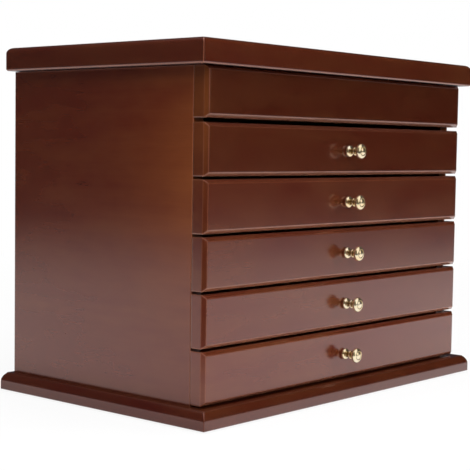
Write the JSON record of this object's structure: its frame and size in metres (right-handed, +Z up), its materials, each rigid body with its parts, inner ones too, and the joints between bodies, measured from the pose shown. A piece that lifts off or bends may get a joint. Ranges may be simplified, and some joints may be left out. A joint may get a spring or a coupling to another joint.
{
  "type": "jewelry chest",
  "caption": "Lacquered wooden jewelry chest: hinged overhanging lid with mirror over a lined tray, chamfered drawers with turned brass knobs below, moulded base.",
  "frame": {"origin": "middle of the felt sheet's flat underside, which the chest stands on", "axes": "+X to the right for someone facing the drawers, +Y to the back, +Z up"},
  "size_m": [0.338, 0.2215, 0.2629],
  "materials": {
    "mahogany": "gloss lacquer over dark red-brown stain",
    "inner_wood": "satin",
    "brass": "polished",
    "lining": "short velvet pile",
    "roll_velvet": "short velvet pile over foam",
    "felt": "felt",
    "mirror": "silvered glass"
  },
  "bodies": {
    "case": {"base_board": "mahogany", "base_felt": "felt", "left_side_panel": "mahogany", "right_side_panel": "mahogany", "back_panel": "mahogany", "top_front": "mahogany", "tray_floor": "inner_wood", "tray_lining": "lining", "ring_rolls": "roll_velvet", "tray_dividers": "lining", "drawer_runners": "inner_wood", "hinge_case_leaves": "brass", "hinge_pins": "brass"},
    "lid": {"lid_panel": "mahogany", "mirror_frame": "mahogany", "lid_mirror": "mirror", "hinge_lid_leaves": "brass"},
    "drawer_1": {"drawer_1_front": "mahogany", "drawer_1_left_side": "inner_wood", "drawer_1_right_side": "inner_wood", "drawer_1_back": "inner_wood", "drawer_1_bottom": "inner_wood", "drawer_1_lining": "lining", "drawer_1_knob": "brass"},
    "drawer_2": {"drawer_2_front": "mahogany", "drawer_2_left_side": "inner_wood", "drawer_2_right_side": "inner_wood", "drawer_2_back": "inner_wood", "drawer_2_bottom": "inner_wood", "drawer_2_lining": "lining", "drawer_2_knob": "brass"},
    "drawer_3": {"drawer_3_front": "mahogany", "drawer_3_left_side": "inner_wood", "drawer_3_right_side": "inner_wood", "drawer_3_back": "inner_wood", "drawer_3_bottom": "inner_wood", "drawer_3_lining": "lining", "drawer_3_knob": "brass"},
    "drawer_4": {"drawer_4_front": "mahogany", "drawer_4_left_side": "inner_wood", "drawer_4_right_side": "inner_wood", "drawer_4_back": "inner_wood", "drawer_4_bottom": "inner_wood", "drawer_4_lining": "lining", "drawer_4_knob": "brass"},
    "drawer_5": {"drawer_5_front": "mahogany", "drawer_5_left_side": "inner_wood", "drawer_5_right_side": "inner_wood", "drawer_5_back": "inner_wood", "drawer_5_bottom": "inner_wood", "drawer_5_lining": "lining", "drawer_5_knob": "brass"}
  },
  "joints": [
    {"name": "lid_hinge", "type": "hinge", "parent": "case", "child": "lid", "pos_m": [0, 0.10355, 0.24525], "axis": [-1, 0, 0], "range_deg": [0, 100]},
    {"name": "drawer_1_slide", "type": "slide", "parent": "case", "child": "drawer_1", "axis": [0, -1, 0], "range_m": [0, 0.13]},
    {"name": "drawer_2_slide", "type": "slide", "parent": "case", "child": "drawer_2", "axis": [0, -1, 0], "range_m": [0, 0.13]},
    {"name": "drawer_3_slide", "type": "slide", "parent": "case", "child": "drawer_3", "axis": [0, -1, 0], "range_m": [0, 0.13]},
    {"name": "drawer_4_slide", "type": "slide", "parent": "case", "child": "drawer_4", "axis": [0, -1, 0], "range_m": [0, 0.13]},
    {"name": "drawer_5_slide", "type": "slide", "parent": "case", "child": "drawer_5", "axis": [0, -1, 0], "range_m": [0, 0.13]}
  ]
}
